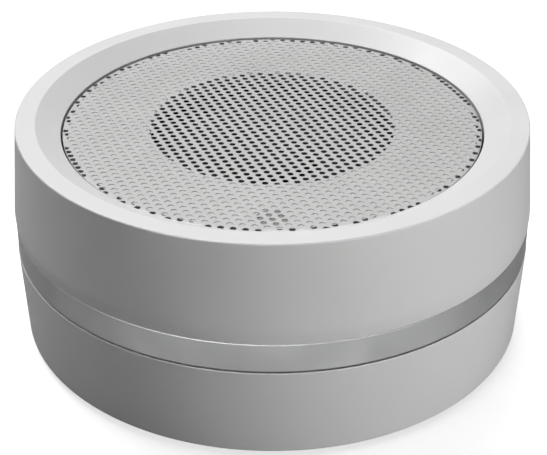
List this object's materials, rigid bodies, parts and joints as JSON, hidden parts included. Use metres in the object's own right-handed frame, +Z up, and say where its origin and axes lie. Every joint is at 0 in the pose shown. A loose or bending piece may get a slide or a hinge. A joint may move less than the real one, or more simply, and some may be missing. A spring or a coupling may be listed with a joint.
{
  "type": "alarm siren",
  "caption": "Round battery-powered indoor alarm siren: white drum with a bevelled rim, recessed perforated grille, silver waist ring and keyhole base.",
  "frame": {"origin": "middle of the underside, at the bottom of the feet", "axes": "+Z up along the drum's axis; -Y is the side with the status light"},
  "size_m": [0.08, 0.08, 0.035],
  "materials": {
    "white_plastic": "fine satin moulded ABS",
    "ring_finish": "satin silver-grey metallic lacquer on plastic",
    "grille_metal": "perforated sheet, light grey powder coat",
    "rubber": "matt elastomer",
    "black_plastic": "fine texture",
    "grey_plastic": "moulded, light grey",
    "steel": "plated",
    "brass": "gold-flashed contact",
    "ferrite": "sintered ferrite",
    "board": "solder-masked glass laminate",
    "copper": "bare and enamelled copper",
    "lens": "milky light-guide acrylic",
    "cone_paper": "coated paper pulp",
    "cell_can": "plain printed sleeve on a steel can",
    "capacitor_can": "drawn can",
    "red_wire": "insulated lead",
    "black_wire": "insulated lead"
  },
  "bodies": {
    "base": {"lower_shell": "white_plastic", "rubber_foot_1": "rubber", "rubber_foot_2": "rubber", "rubber_foot_3": "rubber", "rubber_foot_4": "rubber", "battery_tray": "black_plastic", "battery_cell_1": "cell_can", "battery_cell_2": "cell_can", "battery_cell_3": "cell_can", "battery_cell_4": "cell_can", "plate_contact_1": "steel", "plate_contact_2": "steel", "plate_contact_3": "steel", "plate_contact_4": "steel", "coil_contact_1": "steel", "coil_contact_2": "steel", "coil_contact_3": "steel", "coil_contact_4": "steel", "contact_pad_1": "brass", "contact_pad_2": "brass", "tamper_guide": "black_plastic", "tamper_spring": "steel"},
    "locking_ring": {"locking_ring": "ring_finish"},
    "tamper_rod": {"tamper_rod": "grey_plastic"},
    "siren_head": {"upper_shell": "white_plastic", "grille": "grille_metal", "backing_plate": "grey_plastic", "light_guide": "lens", "speaker_gasket": "rubber", "speaker_surround": "rubber", "speaker_basket": "steel", "speaker_spider": "cone_paper", "speaker_top_plate": "steel", "speaker_magnet": "ferrite", "speaker_yoke": "steel", "main_board": "board", "radio_module": "steel", "antenna": "copper", "processor_chip": "black_plastic", "amplifier_chip": "black_plastic", "boost_inductor": "ferrite", "capacitor_1": "capacitor_can", "capacitor_2": "capacitor_can", "status_led": "lens", "tamper_switch": "black_plastic", "setup_switch": "black_plastic", "head_chassis": "black_plastic", "chassis_screw_1": "steel", "chassis_screw_2": "steel", "chassis_screw_3": "steel", "chassis_screw_4": "steel", "contact_leaf_1": "brass", "contact_leaf_2": "brass", "speaker_lead_red": "red_wire", "speaker_lead_black": "black_wire"},
    "setup_button": {"setup_button": "grey_plastic"},
    "speaker_diaphragm": {"speaker_cone": "cone_paper", "dust_cap": "cone_paper", "voice_coil": "copper"}
  },
  "joints": [
    {"name": "ring_turn", "type": "hinge", "parent": "base", "child": "locking_ring", "pos_m": [0, 0, 0.0174], "axis": [0, 0, 1], "range_deg": [0, 22]},
    {"name": "head_lift", "type": "slide", "parent": "base", "child": "siren_head", "axis": [0, 0, 1], "range_m": [0, 0.04]},
    {"name": "tamper_rod_slide", "type": "slide", "parent": "base", "child": "tamper_rod", "axis": [0, 0, 1], "range_m": [-0.0015, 0], "stiffness_N_per_m": 40, "springref_m": -0.0015, "deforming": ["tamper_spring"]},
    {"name": "setup_button_press", "type": "slide", "parent": "siren_head", "child": "setup_button", "axis": [0, 0, 1], "range_m": [0, 0.0005], "stiffness_N_per_m": 300},
    {"name": "speaker_stroke", "type": "slide", "parent": "siren_head", "child": "speaker_diaphragm", "axis": [0, 0, 1], "range_m": [-0.0005, 0.0005], "stiffness_N_per_m": 1000}
  ]
}
